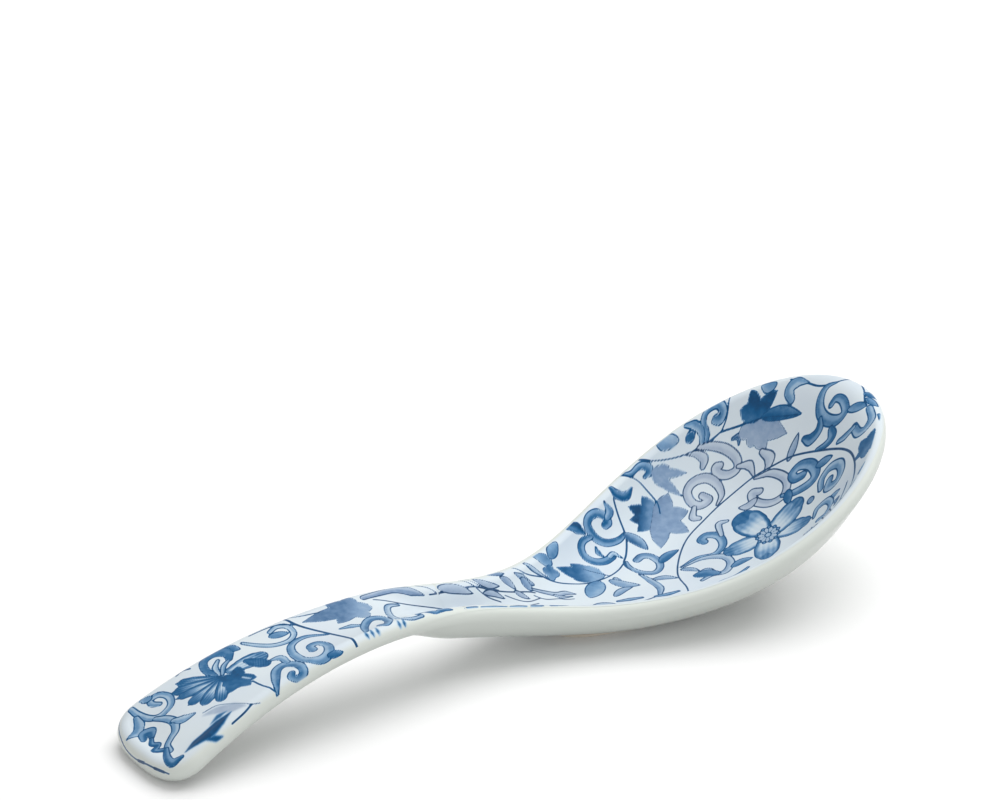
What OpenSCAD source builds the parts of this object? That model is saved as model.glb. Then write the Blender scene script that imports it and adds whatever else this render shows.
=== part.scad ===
// Soup spoon of glazed porcelain: a deep bowl on a low oval foot, a trough-like neck and a
// flared handle that arches up and comes back down to the table.
// Its layers are the fired body, the blue transfer prints laid on its face, and the clear glaze.
// X runs along the spoon to the bowl, Z is up, and the origin is the foot's centre on the table.

/* [Length and width] */
// Foot's centre forward to the middle of the wall at the bowl's lip
bowl_reach = 53; // [50:0.5:56]
// Foot's centre back to the middle of the wall at the handle's end
handle_reach = 94.6; // [89:0.1:100]
// Bowl's width, from wall middle to wall middle
bowl_width = 44; // [41:0.5:47]
// Foot's centre forward to the bowl's widest place
widest_reach = 27; // [24:0.5:30]
// Neck's width, from wall middle to wall middle
neck_width = 9.8; // [8.6:0.2:11]
// Foot's centre back to the neck's narrowest place
neck_reach = 34.5; // [32:0.5:37]
// Handle's width at its end, from edge middle to edge middle
handle_width = 18.8; // [17:0.1:20]
// Length over which the handle's end is rounded
end_round = 5; // [4:0.5:7]
// How far that rounding is from an ellipse, 0, towards square corners
end_square_share = 0.8; // [0:0.1:1.5]

/* [Rim line] */
// Height of the bowl's lip, at the middle of the wall
lip_height = 28.5; // [27:0.1:31]
// Rise of the rim at the lip, as a share of its run
lip_rise_share = 0.49; // [0.4:0.01:0.6]
// Height of the rim where it is lowest, beside the foot
dip_height = 7.6; // [7:0.1:8.6]
// Foot's centre back to where the rim is lowest
dip_reach = 8; // [6:0.5:10]
// Height of the handle's edges at the top of its arch
arch_height = 14.1; // [12.6:0.1:15]
// Foot's centre back to the top of the handle's arch
arch_reach = 49.5; // [47:0.5:53]
// Rise of the handle at its end, as a share of its run
end_rise_share = 0.56; // [0.48:0.01:0.62]

/* [Floor line] */
// Depth of the handle's hollow face below its edges, at the top of the arch
arch_hollow = 0.9; // [0.6:0.1:1.3]
// Height of the trough's floor at the neck, at the middle of the wall
neck_floor = 7.9; // [7.2:0.1:8.6]
// Fall of the trough's floor at the neck, as a share of its run
neck_fall_share = 0.27; // [0.2:0.01:0.34]
// Foot's centre forward to the belly of the bowl
belly_reach = 31; // [29:0.5:34]
// Height of the floor at the belly, at the middle of the wall
belly_height = 7.8; // [7.2:0.1:8.4]
// Rise of the floor at the belly, as a share of its run
belly_rise_share = 0.46; // [0.4:0.01:0.52]
// Rise of the floor where it meets the lip, as a share of its run
front_rise_share = 1.2; // [1.1:0.05:1.4]
// Flatness of the bowl's section: the share of its half width that stays level
bowl_flat_share = 0.75; // [0.7:0.01:0.78]
// Flatness of the handle's section: the share of its half width that stays level
handle_flat_share = 0.545; // [0.5:0.01:0.6]

/* [Walls] */
// Fired wall round the bowl
bowl_wall = 2.04; // [1.8:0.05:2.4]
// Fired wall at the neck
neck_wall = 2.74; // [2.4:0.05:3.1]
// Fired wall at the top of the handle's arch
arch_wall = 2.7; // [2.4:0.05:3.2]
// Fired wall at the handle's end
end_wall = 3.45; // [3:0.05:3.8]
// Foot's centre forward to where the bowl's even wall starts
even_wall_reach = 8; // [5:0.5:12]
// Foot's centre back to where the neck's wall is reached
neck_wall_reach = 22; // [19:0.5:26]

/* [Foot] */
// Length of the unglazed foot
foot_length = 26; // [23:0.5:29]
// Width of the unglazed foot
foot_width = 13; // [11:0.5:15]
// Height of the foot below the fired body, at its centre
foot_height = 0.9; // [0.8:0.05:1.2]

/* [Layers] */
// Thickness of the blue prints
print_thickness = 0.04; // [0.03:0.01:0.05]
// Thickness of the clear glaze
glaze_thickness = 0.3; // [0.25:0.01:0.35]
// Clearance between neighbouring layers
layer_gap = 0.02; // [0.02:0.01:0.03]
// Distance at which the glaze stops short of the foot
glaze_stop = 0.2; // [0.15:0.05:0.35]
// Width of the seam between the two prints
seam_width = 0.3; // [0.2:0.05:0.5]

/* [Hidden] */

// Distance of each layer's inner and outer face from the fired body
print_in = layer_gap;
print_out = print_in + print_thickness;
glaze_in = print_out + layer_gap;
glaze_out = glaze_in + glaze_thickness;

// The glaze stops on an oval round the foot
stop_a = foot_length/2 + glaze_stop;
stop_b = foot_width/2 + glaze_stop;

// Middle and half of the line that the rim's turn is measured on
centre_x = (bowl_reach - handle_reach)/2;
half_length = (bowl_reach + handle_reach)/2;

// The face's middle line stops short of both ends, so that rows of facets fan out round them
end_pull = 0.44*handle_width;
end_zone = 2.93*end_pull;
front_pull = 0.364*bowl_width;
front_zone = 2.375*front_pull;

// How the handle widens towards its end: 1 is straight, more is a later flare
flare_power = 1.35;

// Places, as shares of the neck's reach, where the prints' edge climbs one band of the lip
wrap_shares = [0.64, 0.9, 1.2];

// Spans of facets: round the handle's end, along the handle, neck, foot, throat and lip
end_spans = 5;
handle_spans = 12;
neck_spans = 5;
foot_spans = 8;
throat_spans = 3;
lip_spans = 9;
// Bands of facets from the middle line to the rim, and round the rim's edge
face_bands = 7;
edge_bands = 6;
// How much the bands crowd towards the rim: 0 is even
crowding_share = 0.5;

// Small steps, in degrees of turn and in shares, that the surface's slopes are measured on
turn_step = 0.3;
share_step = 0.001;
least_share = 0.01;

function limit(v) = min(1, max(0, v));

function smooth(v) = let (u = limit(v)) u*u*(3 - 2*u);

function unit(v) = v/norm(v);

// Smooth curve between two knots, each [place, value, slope]
function span(x, a, b) =
    let (run = b[0] - a[0], u = (x - a[0])/run, v = 1 - u)
    (a[1]*(1 + 2*u) + a[2]*run*u)*v*v + (b[1]*(1 + 2*v) - b[2]*run*v)*u*u;

// Value at x of the curve through all the knots, straight on past its ends
function curve(x, knots, i = 0) =
    x <= knots[0][0] ? knots[0][1] + (x - knots[0][0])*knots[0][2]
    : i == len(knots) - 1 ? knots[i][1] + (x - knots[i][0])*knots[i][2]
    : x <= knots[i + 1][0] ? span(x, knots[i], knots[i + 1])
    : curve(x, knots, i + 1);

// Fired wall along the spoon
wall_line = [
    [-handle_reach, end_wall, 0],
    [-arch_reach, arch_wall, 0],
    [-neck_wall_reach, neck_wall, 0],
    [even_wall_reach, bowl_wall, 0],
    [bowl_reach, bowl_wall, 0]];

// The glazed handle's end and the foot both stand on the table
end_height = end_wall/2 + glaze_out;
foot_floor = foot_height + curve(0, wall_line)/2;

// Height of the rim, and of the floor along the middle, both at the middle of the wall
rim_line = [
    [-handle_reach, end_height, end_rise_share],
    [-arch_reach, arch_height, 0],
    [-dip_reach, dip_height, 0],
    [bowl_reach, lip_height, lip_rise_share]];
floor_line = [
    [-handle_reach, end_height, end_rise_share],
    [-arch_reach, arch_height - arch_hollow, 0],
    [-neck_reach, neck_floor, -neck_fall_share],
    [0, foot_floor, 0],
    [belly_reach, belly_height, belly_rise_share],
    [bowl_reach, lip_height, front_rise_share]];

// Half width of the plan: half an ellipse, a wave down to the neck, then the flared handle
end_power = 2 + end_square_share;
function half_width(x) =
    let (wide = bowl_width/2, slim = neck_width/2, grip = handle_width/2,
         front = limit((x - widest_reach)/(bowl_reach - widest_reach)),
         back = limit((widest_reach - x)/(widest_reach + neck_reach)),
         flare = limit((-neck_reach - x)/(handle_reach - neck_reach)),
         end = limit((end_round - handle_reach - x)/end_round))
    pow(1 - pow(end, end_power), 1/end_power)*(
        x > widest_reach ? wide*sqrt(1 - front*front)
        : x > -neck_reach ? slim + (wide - slim)*(1 + cos(180*back))/2
        : slim + (grip - slim)*pow(flare, flare_power));

// Place on the middle line that the row of facets at x starts from
function spine(x) =
    let (to_end = limit((x + handle_reach)/end_zone), to_front = limit((bowl_reach - x)/front_zone))
    x + end_pull*pow(1 - to_end, 2) - front_pull*pow(1 - to_front, 2);

// Point at the middle of the wall: turn runs round the rim, share from the middle line to the rim
function middle(turn, share) =
    let (x = centre_x - half_length*cos(turn), start = spine(x), place = start + (x - start)*share,
         low = curve(place, floor_line), high = curve(x, rim_line),
         level = handle_flat_share + (bowl_flat_share - handle_flat_share)*smooth(place/neck_reach + 1))
    [place, sign(sin(turn))*half_width(x)*share, low + (high - low)*pow(share, 1/(1 - level))];

// Facet corner before its offset: middle point, upward normal, outward direction and wall
function cell(turn, share) =
    let (s = max(share, least_share),
         along = middle(turn, min(s + share_step, 1)) - middle(turn, s - share_step),
         round = middle(turn + turn_step, s) - middle(turn - turn_step, s),
         square = unit(cross(along, round)), up = square*sign(square[2]),
         side = cross(up, unit(round)), out = side*sign(side*along), point = middle(turn, share))
    [point, up, out, curve(point[0], wall_line)];

// Stations along the spoon, from the handle's end to the bowl's lip
function even(from, to, spans) = [for (i = [1:spans]) from + (to - from)*i/spans];
seam_back = -neck_reach - seam_width/2;
stations = concat(
    [for (i = [0:end_spans]) -handle_reach + end_round*(1 - cos(90*i/end_spans))],
    even(end_round - handle_reach, seam_back, handle_spans),
    even(seam_back, seam_back + seam_width, 1),
    even(seam_back + seam_width, -stop_a, neck_spans),
    [for (i = [1:foot_spans]) -stop_a*cos(180*i/foot_spans)],
    even(stop_a, widest_reach, throat_spans),
    [for (i = [1:lip_spans]) widest_reach + (bowl_reach - widest_reach)*sin(90*i/lip_spans)]);
last = len(stations) - 1;
seam_at = end_spans + handle_spans;
foot_at = seam_at + 1 + neck_spans;
foot_to = foot_at + foot_spans;

// Columns go once round the rim, along one side and back along the other
columns = 2*last;
function column(j) = (j + columns) % columns;
function station(j) = min(column(j), columns - column(j));
turns = [for (j = [0:columns - 1])
    let (turn = acos(max(-1, min(1, (centre_x - stations[station(j)])/half_length))))
    j > last ? 360 - turn : turn];

// Share at each band, closer together towards the rim, and the share where the foot starts
function band_share(k) = 1 - pow(1 - k/face_bands, 1 + crowding_share);
function foot_share(j) =
    let (x = stations[station(j)])
    stop_b*sqrt(max(0, 1 - pow(x/stop_a, 2)))/max(half_width(x), stop_b);
upper_cells = [for (k = [0:face_bands]) [for (turn = turns) cell(turn, band_share(k))]];
lower_cells = [for (k = [0:face_bands]) [for (j = [0:columns - 1])
    let (start = foot_share(j))
    cell(turns[j], start + (1 - start)*band_share(k))]];

// A skin's rows run from the middle line over the rim's edge and back underneath
last_row = 2*face_bands + edge_bands;
function row_cell(row, j) =
    row <= face_bands ? upper_cells[row][j]
    : lower_cells[min(face_bands, last_row - row)][j];
function lean(row) =
    90 - 180*limit((row - face_bands)/edge_bands);

// Both sides share their corners on the middle line, but not round the foot
function joined(row, j) =
    row == 0 || (row == last_row && (station(j) <= foot_at || station(j) >= foot_to));
function corner(row, j) = row*columns + (joined(row, j) ? station(j) : column(j));

function skin_point(row, j, lift) =
    let (c = row_cell(row, j), away = c[3]/2 + lift,
         p = c[0] + (c[1]*sin(lean(row)) + c[2]*cos(lean(row)))*away)
    joined(row, j) ? [p[0], 0, p[2]] : p;

function skin(lift, rows = last_row) =
    [for (row = [0:rows]) for (j = [0:columns - 1]) skin_point(row, j, lift)];

// Two facets between neighbouring rows and columns, mirrored from side to side. Where three of
// the corners lie on the middle line, at either end of it, the other way of halving is taken.
function tile(row, j, base = 0) =
    let (a = base + corner(row, j), b = base + corner(row, j + 1),
         c = base + corner(row + 1, j + 1), d = base + corner(row + 1, j),
         at_end = row == 0 && min(station(j), station(j + 1)) == 0,
         at_front = row == last_row - 1 && max(station(j), station(j + 1)) == last)
    (column(j) < last) != (at_end || at_front)
        ? [[a, d, b], [d, c, b]]
        : [[a, d, c], [a, c, b]];

function turned(faces) = [for (f = faces) [f[2], f[1], f[0]]];

function skin_faces(base = 0) =
    [for (row = [0:last_row - 1]) for (j = [0:columns - 1]) each tile(row, j, base)];

// Two facets of a wall from one edge to another
function wall_faces(a, b, c, d) = [[a, d, c], [a, c, b]];

// Columns round the foot's oval
foot_loop = concat(
    [for (i = [foot_at:foot_to]) i],
    [for (i = [foot_to - 1:-1:foot_at + 1]) columns - i]);
foot_corners = len(foot_loop);
function foot_ring(lift) = [for (j = foot_loop) skin_point(last_row, j, lift)];

// The fired body: its skin, then the foot's step, wall and flat base
module porcelain_body() {
    points = skin(0);
    seat = foot_ring(0);
    inset_a = 1 - glaze_stop/stop_a;
    inset_b = 1 - glaze_stop/stop_b;
    step = [for (p = seat) [p[0]*inset_a, p[1]*inset_b, p[2]]];
    base = [for (p = step) [p[0], p[1], 0]];
    step_at = len(points);
    base_at = step_at + foot_corners;
    half = foot_corners/2;
    function next(q) = (q + 1) % foot_corners;
    function rim(q) = corner(last_row, foot_loop[q]);
    step_faces = [for (q = [0:foot_corners - 1])
        each wall_faces(rim(q), rim(next(q)), step_at + next(q), step_at + q)];
    foot_wall = [for (q = [0:foot_corners - 1])
        each wall_faces(step_at + q, step_at + next(q), base_at + next(q), base_at + q)];
    flat = concat(
        [[base_at, base_at + foot_corners - 1, base_at + 1]],
        [for (q = [1:half - 2])
            let (a = base_at + q, b = base_at + foot_corners - q)
            each [[a, b, b - 1], [a, b - 1, a + 1]]],
        [[base_at + half - 1, base_at + half + 1, base_at + half]]);
    color([0.92, 0.91, 0.87])
        polyhedron(concat(points, step, base),
            concat(skin_faces(), step_faces, foot_wall, flat), convexity = 6);
}

// Last row that a print covers: over the handle's edge, but short of the bowl's lip
function print_row(j) =
    let (x = stations[station(j)])
    face_bands + 1 + len([for (s = wrap_shares) if (x < -s*neck_reach) s]);

// Facets of one print between two columns, with its slanting edge where it climbs a band
function print_faces(from, to) =
    [for (j = [from:to - 1])
        let (near = print_row(j), far = print_row(j + 1), both = min(near, far))
        each concat(
            [for (row = [0:both - 1]) each tile(row, j)],
            near > far ? [[corner(both, j), corner(both + 1, j), corner(both, j + 1)]]
            : far > near ? [[corner(both, j), corner(both + 1, j + 1), corner(both, j + 1)]]
            : [])];

// The print's edge: along the rim, then across the face at the seam
function print_edge(from, to) =
    concat(
        [for (j = [from:to]) corner(print_row(j), j)],
        [for (row = [print_row(to) - 1:-1:0]) corner(row, to)],
        [for (row = [1:print_row(from) - 1]) corner(row, from)]);

// A thin sheet that lies on the face between two columns
module print_sheet(from, to) {
    rows = face_bands + edge_bands;
    upper = skin(print_out, rows);
    under = skin(print_in, rows);
    below = len(upper);
    faces = print_faces(from, to);
    edge = print_edge(from, to);
    ends = len(edge);
    function next(q) = (q + 1) % ends;
    sides = [for (q = [0:ends - 1])
        each wall_faces(edge[q], edge[next(q)], below + edge[next(q)], below + edge[q])];
    polyhedron(concat(upper, under),
        concat(faces, turned([for (f = faces) [for (i = f) below + i]]), sides), convexity = 6);
}

module bowl_print() {
    color([0.25, 0.42, 0.66])
        print_sheet(seam_at + 1, columns - seam_at - 1);
}

module handle_print() {
    color([0.2, 0.37, 0.62])
        print_sheet(-seam_at, seam_at);
}

// The glaze: an outer and an inner skin, joined by a narrow edge round the foot
module clear_glaze() {
    outer = skin(glaze_out);
    inner = skin(glaze_in);
    base = len(outer);
    function next(q) = (q + 1) % foot_corners;
    function rim(q) = corner(last_row, foot_loop[q]);
    edge = [for (q = [0:foot_corners - 1])
        each wall_faces(rim(q), rim(next(q)), base + rim(next(q)), base + rim(q))];
    color([0.78, 0.82, 0.82, 0.4])
        polyhedron(concat(outer, inner),
            concat(skin_faces(), turned(skin_faces(base)), edge), convexity = 8);
}

porcelain_body();
bowl_print();
handle_print();
clear_glaze();
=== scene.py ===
import math
import bpy
import numpy as np
from mathutils import Matrix, Vector
from mathutils.bvhtree import BVHTree


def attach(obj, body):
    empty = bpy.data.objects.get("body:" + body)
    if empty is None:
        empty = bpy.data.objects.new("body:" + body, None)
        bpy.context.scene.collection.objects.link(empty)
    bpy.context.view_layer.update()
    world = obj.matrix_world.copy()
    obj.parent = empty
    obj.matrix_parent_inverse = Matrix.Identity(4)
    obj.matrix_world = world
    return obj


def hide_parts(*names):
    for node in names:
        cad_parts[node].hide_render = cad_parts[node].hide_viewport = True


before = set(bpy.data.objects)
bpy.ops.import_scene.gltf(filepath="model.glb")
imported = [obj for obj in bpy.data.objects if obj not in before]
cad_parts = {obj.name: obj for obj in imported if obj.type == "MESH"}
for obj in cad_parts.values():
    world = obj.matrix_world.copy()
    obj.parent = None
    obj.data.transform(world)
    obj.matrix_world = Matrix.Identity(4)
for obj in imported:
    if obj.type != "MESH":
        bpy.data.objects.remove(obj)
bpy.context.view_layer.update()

# Sizes of the spoon in millimetres, along X from the foot's centre, the same as the solid parts'
MM = 0.001
BOWL_REACH = 53.0
HANDLE_REACH = 94.6
BOWL_WIDTH = 44.0
WIDEST_REACH = 27.0
NECK_WIDTH = 9.8
NECK_REACH = 34.5
HANDLE_WIDTH = 18.8
END_ROUND = 5.0
END_POWER = 2.8
LIP_HEIGHT = 28.5
LIP_RISE = 0.49
DIP_HEIGHT = 7.6
DIP_REACH = 8.0
ARCH_HEIGHT = 14.1
ARCH_REACH = 49.5
END_RISE = 0.56
ARCH_HOLLOW = 0.9
NECK_FLOOR = 7.9
NECK_FALL = 0.27
BELLY_REACH = 31.0
BELLY_HEIGHT = 7.8
BELLY_RISE = 0.46
FRONT_RISE = 1.2
BOWL_FLAT = 0.75
HANDLE_FLAT = 0.545
BOWL_WALL = 2.04
NECK_WALL = 2.74
ARCH_WALL = 2.7
END_WALL = 3.45
EVEN_WALL_REACH = 8.0
NECK_WALL_REACH = 22.0
FOOT_LENGTH = 26.0
FOOT_WIDTH = 13.0
FOOT_HEIGHT = 0.9
GLAZE_IN = 0.08
GLAZE_OUT = 0.38
GLAZE_STOP = 0.2
FLARE_POWER = 1.35
CROWDING = 1.5

# Where rows of facets start on the middle line, near both ends: how far in, and over which stretch
END_PULL = 0.44*HANDLE_WIDTH
END_ZONE = 2.93*END_PULL
FRONT_PULL = 0.364*BOWL_WIDTH
FRONT_ZONE = 2.375*FRONT_PULL

# Middle and half of the whole length, and the half axes of the oval where the glaze stops
CENTRE_X = (BOWL_REACH - HANDLE_REACH)/2
HALF_LENGTH = (BOWL_REACH + HANDLE_REACH)/2
STOP_A = FOOT_LENGTH/2 + GLAZE_STOP
STOP_B = FOOT_WIDTH/2 + GLAZE_STOP


def limit(v):
    """A value held between 0 and 1."""
    return np.clip(v, 0, 1)


def smooth(v):
    """A soft step from 0 to 1."""
    u = limit(v)
    return u*u*(3 - 2*u)


def curve(x, knots):
    """Smooth curve through knots (place, value, slope), straight on past both ends."""
    x = np.asarray(x, float)
    first, final = knots[0], knots[-1]
    y = np.where(x < first[0], first[1] + (x - first[0])*first[2], final[1] + (x - final[0])*final[2])
    for a, b in zip(knots, knots[1:]):
        run = b[0] - a[0]
        u = (x - a[0])/run
        v = 1 - u
        part = (a[1]*(1 + 2*u) + a[2]*run*u)*v*v + (b[1]*(1 + 2*v) - b[2]*run*v)*u*u
        y = np.where((x >= a[0]) & (x <= b[0]), part, y)
    return y


WALL_LINE = ((-HANDLE_REACH, END_WALL, 0), (-ARCH_REACH, ARCH_WALL, 0), (-NECK_WALL_REACH, NECK_WALL, 0),
             (EVEN_WALL_REACH, BOWL_WALL, 0), (BOWL_REACH, BOWL_WALL, 0))
END_HEIGHT = END_WALL/2 + GLAZE_OUT
FOOT_FLOOR = FOOT_HEIGHT + float(curve(0, WALL_LINE))/2
RIM_LINE = ((-HANDLE_REACH, END_HEIGHT, END_RISE), (-ARCH_REACH, ARCH_HEIGHT, 0),
            (-DIP_REACH, DIP_HEIGHT, 0), (BOWL_REACH, LIP_HEIGHT, LIP_RISE))
FLOOR_LINE = ((-HANDLE_REACH, END_HEIGHT, END_RISE), (-ARCH_REACH, ARCH_HEIGHT - ARCH_HOLLOW, 0),
              (-NECK_REACH, NECK_FLOOR, -NECK_FALL), (0, FOOT_FLOOR, 0),
              (BELLY_REACH, BELLY_HEIGHT, BELLY_RISE), (BOWL_REACH, LIP_HEIGHT, FRONT_RISE))


def half_width(x):
    """Half the plan's width: half an ellipse, a wave down to the neck, then the flared handle."""
    wide, slim, grip = BOWL_WIDTH/2, NECK_WIDTH/2, HANDLE_WIDTH/2
    front = limit((x - WIDEST_REACH)/(BOWL_REACH - WIDEST_REACH))
    back = limit((WIDEST_REACH - x)/(WIDEST_REACH + NECK_REACH))
    flare = limit((-NECK_REACH - x)/(HANDLE_REACH - NECK_REACH))
    end = limit((END_ROUND - HANDLE_REACH - x)/END_ROUND)
    bowl = wide*np.sqrt(1 - front*front)
    neck = slim + (wide - slim)*(1 + np.cos(np.pi*back))/2
    handle = slim + (grip - slim)*flare**FLARE_POWER
    plan = np.where(x > WIDEST_REACH, bowl, np.where(x > -NECK_REACH, neck, handle))
    return (1 - end**END_POWER)**(1/END_POWER)*plan


def spine(x):
    """Place on the middle line that the row of facets at x starts from."""
    to_end = limit((x + HANDLE_REACH)/END_ZONE)
    to_front = limit((BOWL_REACH - x)/FRONT_ZONE)
    return x + END_PULL*(1 - to_end)**2 - FRONT_PULL*(1 - to_front)**2


def middle(turn, share):
    """Point at the wall's middle: turn runs round the rim, share from the middle line to the rim."""
    x = CENTRE_X - HALF_LENGTH*np.cos(turn)
    start = spine(x)
    place = start + (x - start)*share
    low, high = curve(place, FLOOR_LINE), curve(x, RIM_LINE)
    level = HANDLE_FLAT + (BOWL_FLAT - HANDLE_FLAT)*smooth(place/NECK_REACH + 1)
    y = np.sign(np.sin(turn))*half_width(x)*share
    return np.stack([place, y, low + (high - low)*share**(1/(1 - level))], -1)


def turn_to(x):
    """Turn round the rim, on the far side, that reaches x."""
    return np.arccos(np.clip((CENTRE_X - x)/HALF_LENGTH, -1, 1))


def unit(v):
    """Vectors brought to the length 1."""
    return v/np.maximum(np.linalg.norm(v, axis=-1, keepdims=True), 1e-12)


# Small steps of share and of turn that the surface's directions are measured over
SHARE_STEP, TURN_STEP = 0.001, 0.005


def cells(turn, share):
    """Middle points, upward normals, outward directions and walls at every turn and share."""
    turn, share = np.broadcast_arrays(np.asarray(turn, float), np.asarray(share, float))
    s = np.maximum(share, 0.01)
    along = middle(turn, np.minimum(s + SHARE_STEP, 1)) - middle(turn, s - SHARE_STEP)
    around = middle(turn + TURN_STEP, s) - middle(turn - TURN_STEP, s)
    square = unit(np.cross(along, around))
    up = square*np.sign(square[..., 2:3])
    side = np.cross(up, unit(around))
    out = side*np.sign((side*along).sum(-1, keepdims=True))
    point = middle(turn, share)
    return point, up, out, curve(point[..., 0], WALL_LINE)[..., None]


def even(start, stop, spans):
    """Evenly spread places after start, up to stop."""
    return list(np.linspace(start, stop, spans + 1)[1:])


# Spans of facets: round the handle's end, along the handle, neck, foot, throat and lip
SPANS = (16, 84, 30, 56, 18, 48)


def end_places(spans):
    """Stations round the handle's end, evenly spread over its width."""
    wide = np.sin(np.linspace(0, np.pi/2, spans + 1))
    return list(-HANDLE_REACH + END_ROUND*(1 - (1 - wide**END_POWER)**(1/END_POWER)))


def lip_places(spans):
    """Stations from the bowl's widest place to its lip, closer together towards the lip."""
    turns = (math.pi/2*i/spans for i in range(1, spans + 1))
    return [WIDEST_REACH + (BOWL_REACH - WIDEST_REACH)*math.sin(turn) for turn in turns]


def make_stations():
    """Stations along the spoon, from the handle's end to the bowl's lip."""
    end, handle, neck, foot, throat, lip = SPANS
    return np.array(
        end_places(end) + even(END_ROUND - HANDLE_REACH, -NECK_REACH, handle)
        + even(-NECK_REACH, -STOP_A, neck)
        + [-STOP_A*math.cos(math.pi*i/foot) for i in range(1, foot + 1)]
        + even(STOP_A, WIDEST_REACH, throat) + lip_places(lip))


STATIONS = make_stations()
LAST = len(STATIONS) - 1
COLUMNS = 2*LAST
FOOT_AT = sum(SPANS[:3])
FOOT_TO = FOOT_AT + SPANS[3]
STATION_OF = np.minimum(np.arange(COLUMNS), COLUMNS - np.arange(COLUMNS))
COLUMN_X = STATIONS[STATION_OF]
HALF_TURN = turn_to(COLUMN_X)
TURNS = np.where(np.arange(COLUMNS) > LAST, 2*np.pi - HALF_TURN, HALF_TURN)
FOOT_SHARE = (STOP_B*np.sqrt(np.maximum(0, 1 - (COLUMN_X/STOP_A)**2))
              / np.maximum(half_width(COLUMN_X), STOP_B))
FOOT_LOOP = list(range(FOOT_AT, FOOT_TO + 1)) + [COLUMNS - i for i in range(FOOT_TO - 1, FOOT_AT, -1)]


class Skin:
    """One closed-over face of the spoon at an offset from the fired body, as rows of points from
    the middle line, over the rim's edge and back underneath to the foot."""

    def __init__(self, lift, upper, edge, lower):
        shares = 1 - (1 - np.linspace(0, 1, upper + 1))**CROWDING
        back = 1 - (1 - np.linspace(1, 0, lower + 1))**CROWDING
        leans = np.radians(np.linspace(90, -90, edge + 1))[1:-1]
        top = cells(TURNS[None], shares[:, None])
        rim = [part[-1:] for part in top]
        low = cells(TURNS[None], FOOT_SHARE[None] + (1 - FOOT_SHARE[None])*back[:, None])
        rows = []
        for parts, angles in ((top, [np.pi/2]), (rim, leans), (low, [-np.pi/2])):
            point, up, out, wall = parts
            for angle in angles:
                normal = up*math.sin(angle) + out*math.cos(angle)
                rows.append((point + normal*(wall/2 + lift), normal))
        self.points = np.concatenate([p for p, n in rows])
        self.normals = unit(np.concatenate([n for p, n in rows]))
        self.rows = len(self.points)
        self.rim_row = upper + edge//2
        self.size = self.rows*COLUMNS
        self.joined = np.zeros((self.rows, COLUMNS), bool)
        self.joined[0] = True
        self.joined[-1] = (STATION_OF <= FOOT_AT) | (STATION_OF >= FOOT_TO)
        self.points[..., 1] = np.where(self.joined, 0, self.points[..., 1])
        self.normals[..., 1] = np.where(self.joined, 0, self.normals[..., 1])
        self.index = np.arange(self.rows*COLUMNS).reshape(self.rows, COLUMNS)
        self.index[0] = self.index[0][STATION_OF]
        self.index[-1] = np.where(self.joined[-1], self.index[-1][STATION_OF], self.index[-1])

    def quads(self):
        """Faces as rows of four corners; where columns are joined, two of the corners are one."""
        i = self.index
        a, d = i[:-1], i[1:]
        b, c = np.roll(a, -1, 1), np.roll(d, -1, 1)
        return np.stack([a, b, c, d], -1).reshape(-1, 4)


def ring_faces(outer, inner):
    """Quads between two loops of corners of the same length."""
    return [(outer[i], outer[(i + 1) % len(outer)], inner[(i + 1) % len(outer)], inner[i])
            for i in range(len(outer))]


def clean_faces(faces):
    """Faces without their doubled corners, and without those that are no face then."""
    faces = [tuple(dict.fromkeys(int(v) for v in f)) for f in faces]
    return [f for f in faces if len(f) > 2]


def add_object(name, data):
    """A new object in the scene."""
    obj = bpy.data.objects.new(name, data)
    bpy.context.scene.collection.objects.link(obj)
    return obj


def make_mesh(name, points, faces, normals):
    """A smooth mesh in metres from points in millimetres, and which points it uses."""
    faces = clean_faces(faces)
    used = np.unique(np.fromiter((v for f in faces for v in f), int))
    place = {int(v): i for i, v in enumerate(used)}
    mesh = bpy.data.meshes.new(name)
    mesh.from_pydata((points[used]*MM).tolist(), [], [[place[v] for v in f] for f in faces])
    mesh.polygons.foreach_set("use_smooth", [True]*len(mesh.polygons))
    mesh.normals_split_custom_set_from_vertices(normals[used].tolist())
    mesh.update()
    obj = add_object(name, mesh)
    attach(obj, "root")
    return obj, used


# The flat map's picture is 160 mm wide
CHART_SCALE = 1/160


def chart(points, underside=False):
    """Flat map of the face or of the underside: a plan whose rim is folded out."""
    x, y, z = points.T
    fold = np.maximum(0, curve(x, RIM_LINE) - z)*np.sign(y)*(np.abs(y) > half_width(x))
    u = 0.5 + (x - CENTRE_X)*CHART_SCALE
    v = 0.25 + (y + (0 if underside else fold))*CHART_SCALE
    return np.stack([u, v + (0.5 if underside else 0)], -1)


def lay_chart(obj, uv):
    """Give a mesh its flat map."""
    layer = obj.data.uv_layers.new(name="OFBake")
    corner = np.empty(len(obj.data.loops), int)
    obj.data.loops.foreach_get("vertex_index", corner)
    layer.data.foreach_set("uv", uv[corner].ravel())


def add_values(obj, name, values):
    """Give a mesh's points a named value that materials can read."""
    obj.data.attributes.new(name, "FLOAT", "POINT").data.foreach_set("value", np.asarray(values, float))


# How far the printed sheets lie over the coat, in millimetres
SHEET_LIFT = 0.03
COAT = Skin(GLAZE_OUT - SHEET_LIFT, upper=36, edge=16, lower=24)
# Rows of facets from the rim inwards to the bluer white of the face, and those that it fades over
FACE_ROWS, FACE_FADE_ROWS = 4, 3
# Place and size on the flat map of the coat's inner skin, which can't be seen
HIDDEN_MAP = 0.02


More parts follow.
